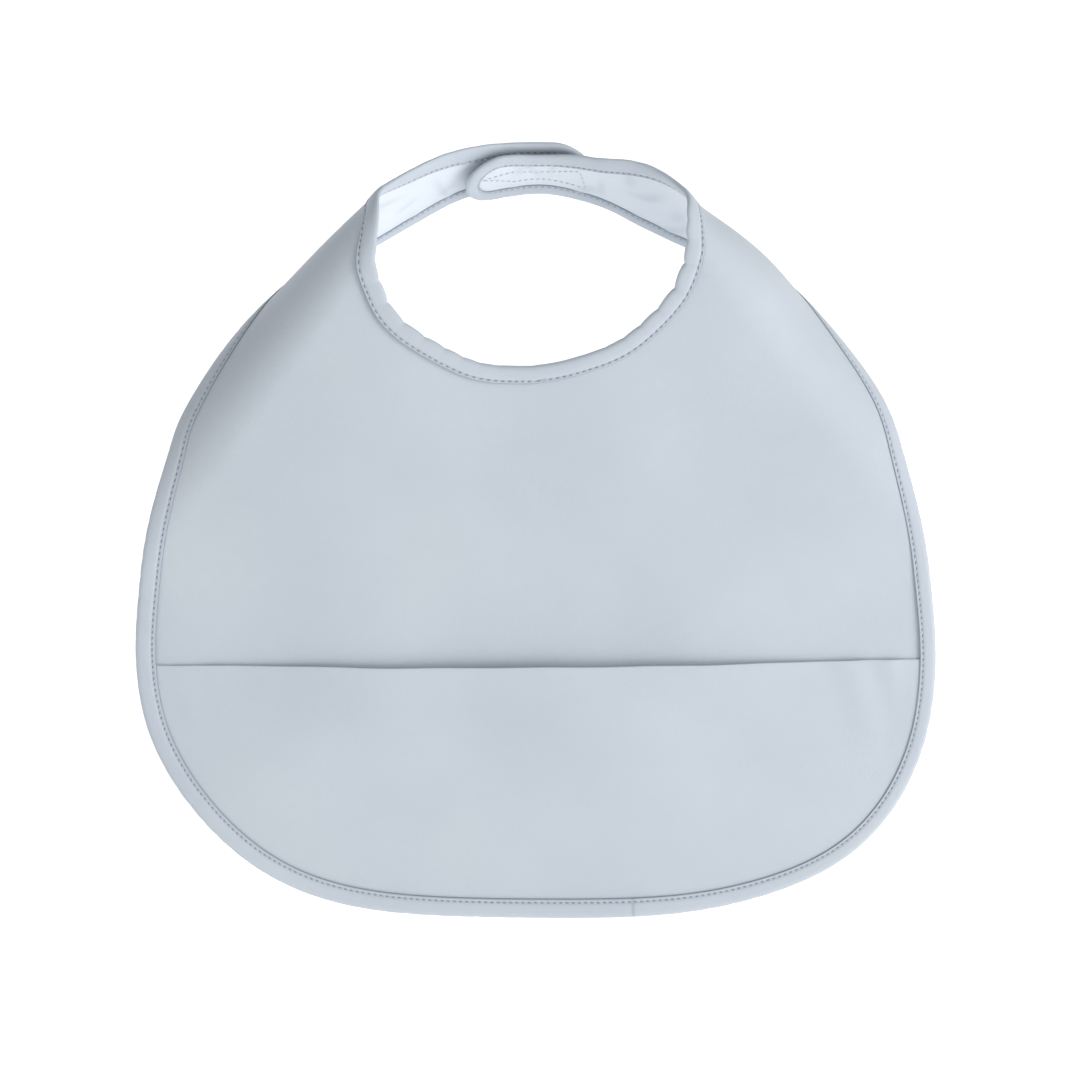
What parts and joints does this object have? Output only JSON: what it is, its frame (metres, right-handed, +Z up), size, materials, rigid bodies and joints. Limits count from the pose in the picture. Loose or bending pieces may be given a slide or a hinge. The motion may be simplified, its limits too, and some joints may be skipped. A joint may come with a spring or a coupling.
{
  "type": "baby bib",
  "caption": "Coated-cloth baby bib with a catch pocket, bound edges and shoulder straps that lap and close with hook and loop behind the neck.",
  "frame": {"origin": "centre of the neck opening, held where a child's neck would be", "axes": "+Z up, +X to the right of someone facing the bib, and the front panel faces -Y"},
  "size_m": [0.3018, 0.0716, 0.2927],
  "materials": {
    "face_cloth": "matt coated",
    "lining_cloth": "smooth, slightly glossy coating",
    "binding_cloth": "matt coated",
    "sewing_thread": "satin",
    "loop_tape": "brushed pile",
    "hook_tape": "fine hooks"
  },
  "bodies": {
    "bib_body": {"front_panel": "face_cloth", "panel_lining": "lining_cloth", "pocket_panel": "face_cloth", "pocket_lining": "lining_cloth", "edge_binding": "binding_cloth", "neck_binding": "binding_cloth", "edge_thread": "sewing_thread", "neck_thread": "sewing_thread"},
    "left_strap": {"left_strap_panel": "face_cloth", "left_strap_lining": "lining_cloth", "left_strap_binding": "binding_cloth", "left_strap_thread": "sewing_thread", "loop_patch": "loop_tape", "loop_patch_thread": "sewing_thread"},
    "right_strap": {"right_strap_panel": "face_cloth", "right_strap_lining": "lining_cloth", "right_strap_binding": "binding_cloth", "right_strap_thread": "sewing_thread", "hook_patch": "hook_tape", "hook_patch_thread": "sewing_thread"}
  },
  "joints": [
    {"name": "left_strap_open", "type": "hinge", "parent": "bib_body", "child": "left_strap", "pos_m": [-0.07485, 0.0165, 0.00279], "axis": [0.6172, -0.2998, 0.7275], "range_deg": [0, 110]},
    {"name": "right_strap_open", "type": "hinge", "parent": "bib_body", "child": "right_strap", "pos_m": [0.07485, 0.0165, 0.00279], "axis": [0.6172, 0.2998, -0.7275], "range_deg": [0, 44]}
  ],
  "couplings": [
    {"joint": "right_strap_open", "follows": "left_strap_open", "ratio": 0.4}
  ]
}
